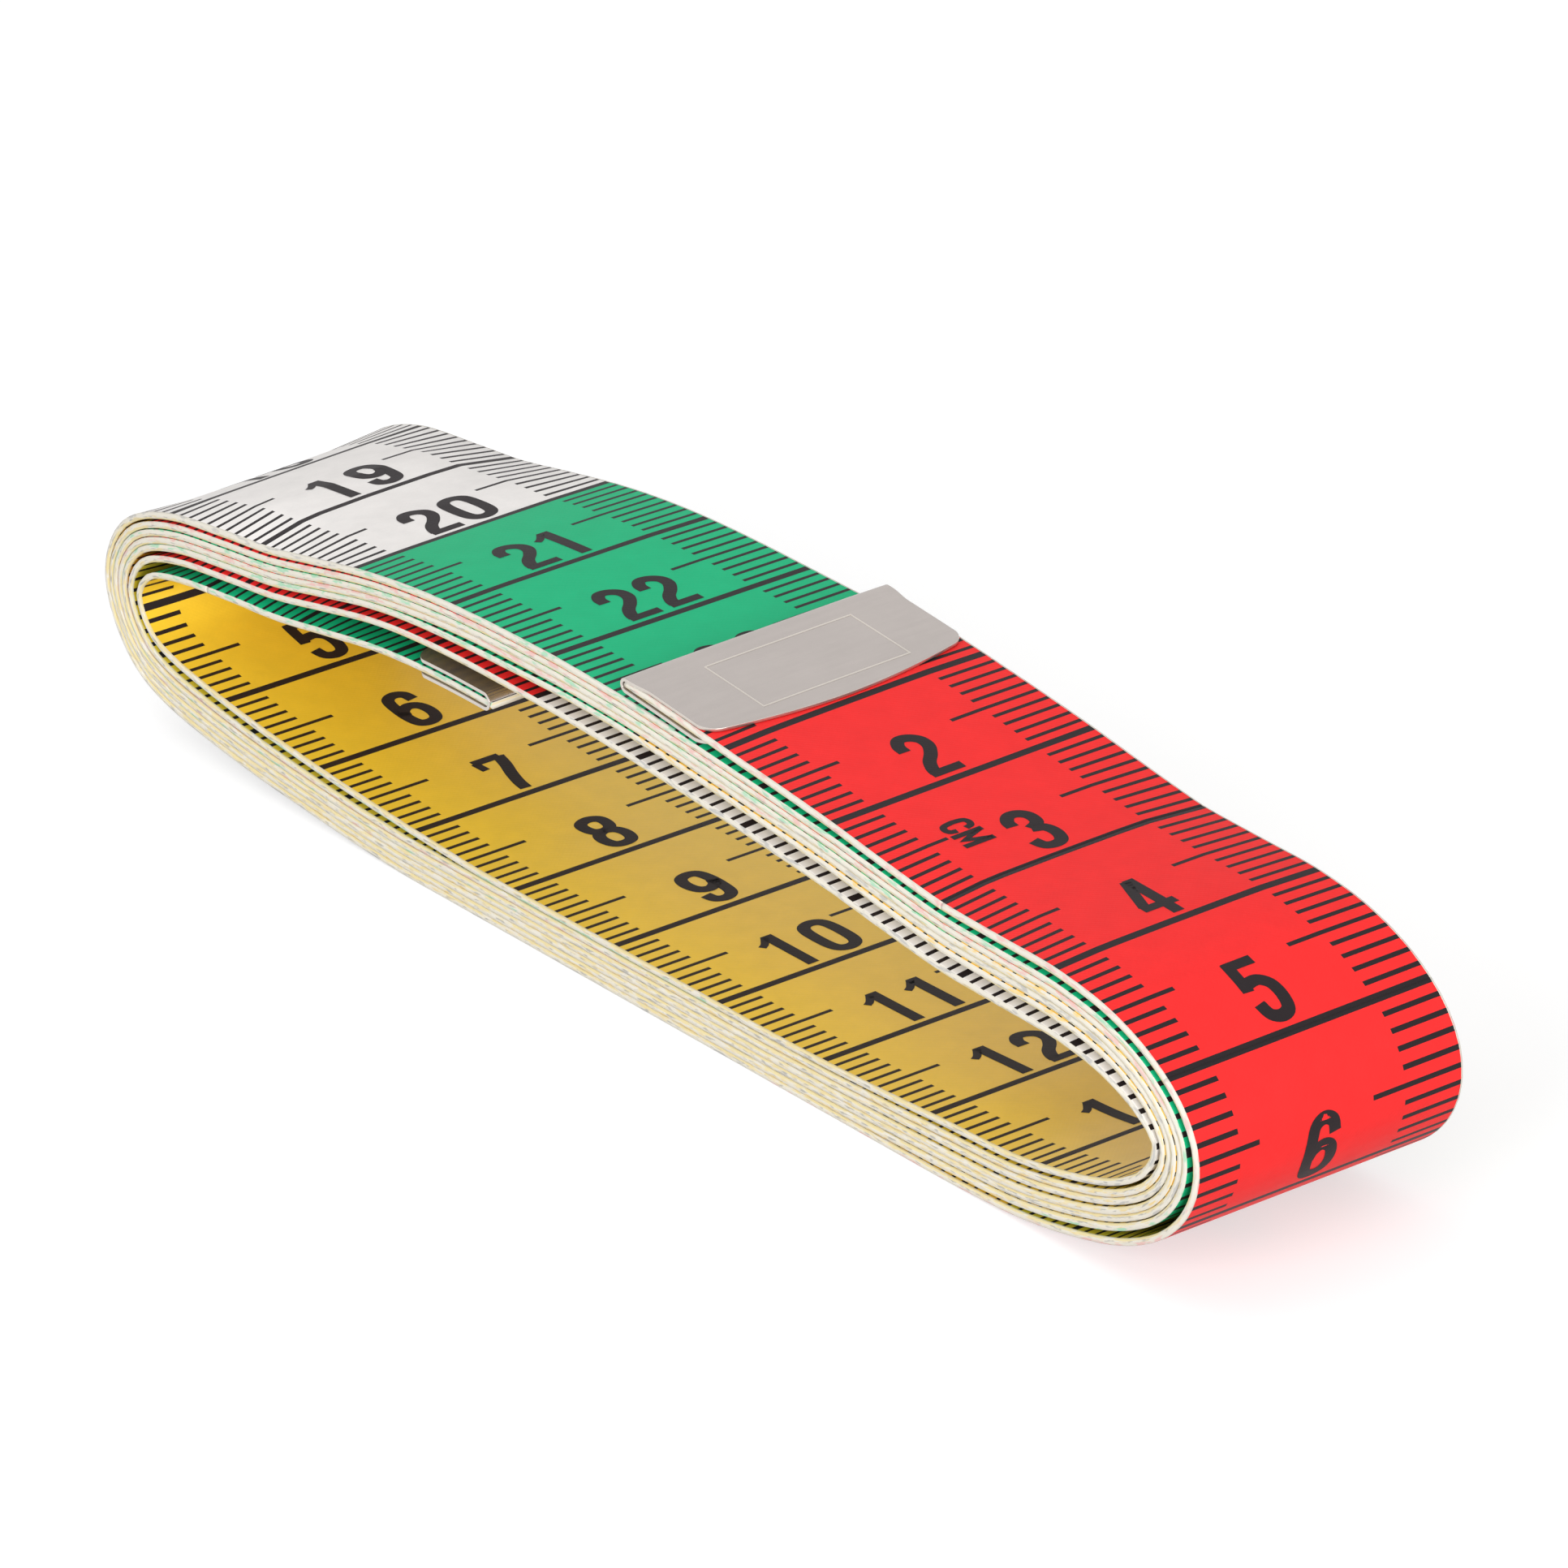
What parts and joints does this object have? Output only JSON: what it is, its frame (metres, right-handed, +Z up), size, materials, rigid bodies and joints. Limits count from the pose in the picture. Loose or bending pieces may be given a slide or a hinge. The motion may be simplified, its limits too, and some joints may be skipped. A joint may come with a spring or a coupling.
{
  "type": "cloth tape measure",
  "caption": "Flexible cloth tape measure wound into a flat oblong loop, with a folded metal cap on its outer end and one on its inner end.",
  "frame": {"origin": "middle of the loop's footprint, on the surface that it stands on", "axes": "+X along the loop towards the bend that the outer end runs to, +Y across the tape to its far edge, +Z up"},
  "size_m": [0.1072, 0.0194, 0.0211],
  "materials": {
    "tape_red": "satin coated cloth",
    "tape_green": "satin coated cloth",
    "cap_metal": "satin nickel"
  },
  "bodies": {
    "winding": {"tape_winding": "tape_red"},
    "outer_root": {"tape_outer_root": "tape_red"},
    "outer_tip": {"tape_outer_tip": "tape_red", "outer_end_cap": "cap_metal"},
    "inner_end": {"tape_inner_end": "tape_green", "inner_end_cap": "cap_metal"}
  },
  "joints": [
    {"name": "outer_end_lift", "type": "hinge", "parent": "winding", "child": "outer_root", "pos_m": [0.04302, 0, 0.01662], "axis": [0, 1, 0], "range_deg": [0, 40]},
    {"name": "outer_tip_curl", "type": "hinge", "parent": "outer_root", "child": "outer_tip", "pos_m": [0.02213, 0, 0.01863], "axis": [0, 1, 0], "range_deg": [0, 40]},
    {"name": "inner_end_flex", "type": "hinge", "parent": "winding", "child": "inner_end", "pos_m": [-0.03904, 0, 0.01198], "axis": [0, 1, 0], "range_deg": [-2, 18], "stiffness_Nm_per_rad": 0.01}
  ],
  "couplings": [
    {"joint": "outer_tip_curl", "follows": "outer_end_lift", "ratio": 1}
  ]
}
